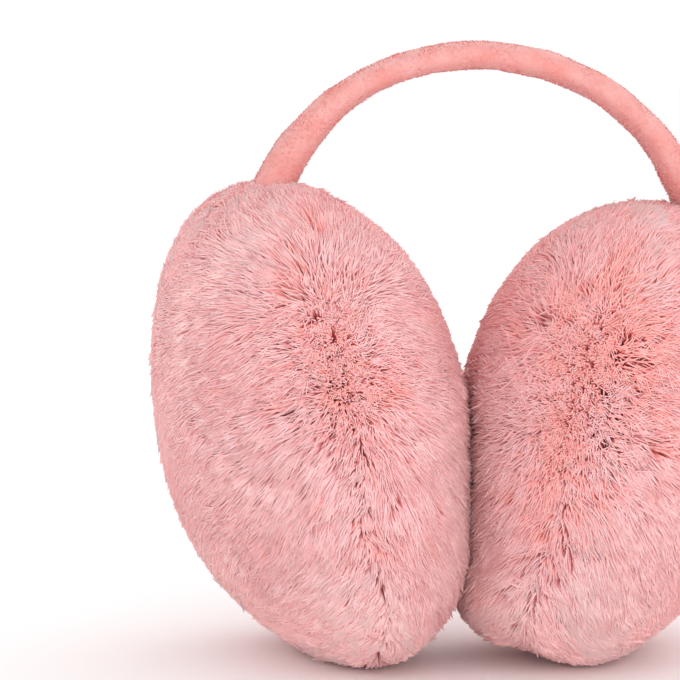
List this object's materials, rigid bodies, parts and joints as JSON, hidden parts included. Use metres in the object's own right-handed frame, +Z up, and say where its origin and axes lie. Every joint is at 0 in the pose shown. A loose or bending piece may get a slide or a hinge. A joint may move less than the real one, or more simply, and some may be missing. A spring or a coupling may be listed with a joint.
{
  "type": "fur earmuffs",
  "caption": "Earmuffs with two deep-pile fur muffs on an arched velvet-covered headband, standing on the muffs.",
  "frame": {"origin": "on the surface that the muffs stand on, midway between them", "axes": "+X towards the wearer's left, -Y the front, +Z up through the crown of the headband"},
  "size_m": [0.1708, 0.1164, 0.1659],
  "materials": {
    "velvet": "short-pile coral pink velvet with a mottled nap",
    "fur": "deep-pile pink fur with paler tips"
  },
  "bodies": {
    "root": {"headband": "velvet", "right_outer_fur": "fur", "right_ear_fur": "fur", "left_outer_fur": "fur", "left_ear_fur": "fur"}
  },
  "joints": []
}
